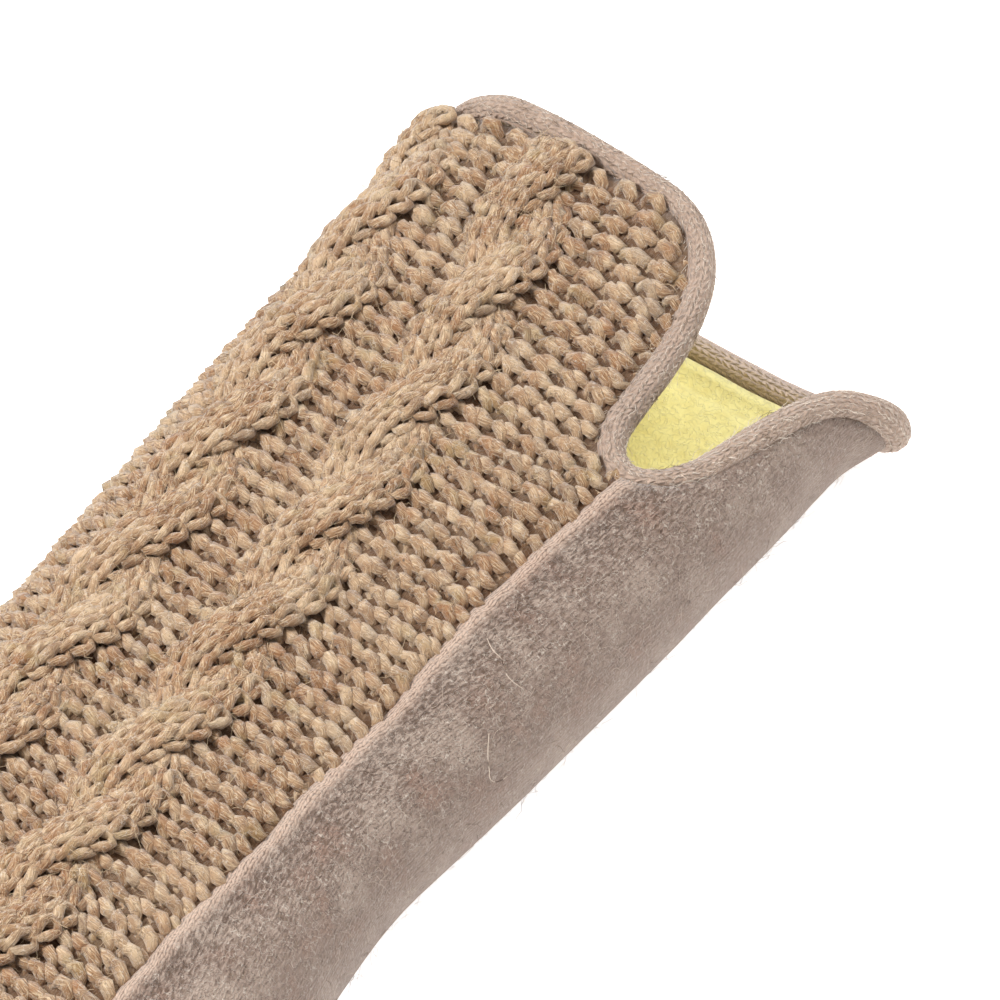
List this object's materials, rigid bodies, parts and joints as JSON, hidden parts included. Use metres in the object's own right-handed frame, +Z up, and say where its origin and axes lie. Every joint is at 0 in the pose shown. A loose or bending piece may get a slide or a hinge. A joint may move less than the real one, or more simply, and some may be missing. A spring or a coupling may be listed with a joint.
{
  "type": "pair of gloves",
  "caption": "Knitted gloves with rope cables on the back, brushed jersey palms and stalls, a bound cuff with a side vent, and a fleece lining at the cuff.",
  "frame": {"origin": "middle of the pair, on the surface that the gloves lie on", "axes": "+Z up, fingers toward -Y, cuffs toward +Y, the left glove at +X and the right glove at -X, palms down"},
  "size_m": [0.2922, 0.2724, 0.0296],
  "materials": {
    "cable_knit": "chunky heather wool, cable knitted",
    "jersey": "fine brushed wool jersey",
    "fleece": "short yellow fleece"
  },
  "bodies": {
    "root": {"left_back": "cable_knit", "left_palm": "jersey", "left_binding": "jersey", "left_lining_back": "fleece", "left_lining_palm": "fleece", "left_thumb": "jersey", "left_index_finger": "jersey", "left_middle_finger": "jersey", "left_ring_finger": "jersey", "left_little_finger": "jersey", "right_back": "cable_knit", "right_palm": "jersey", "right_binding": "jersey", "right_lining_back": "fleece", "right_lining_palm": "fleece", "right_thumb": "jersey", "right_index_finger": "jersey", "right_middle_finger": "jersey", "right_ring_finger": "jersey", "right_little_finger": "jersey"}
  },
  "joints": []
}
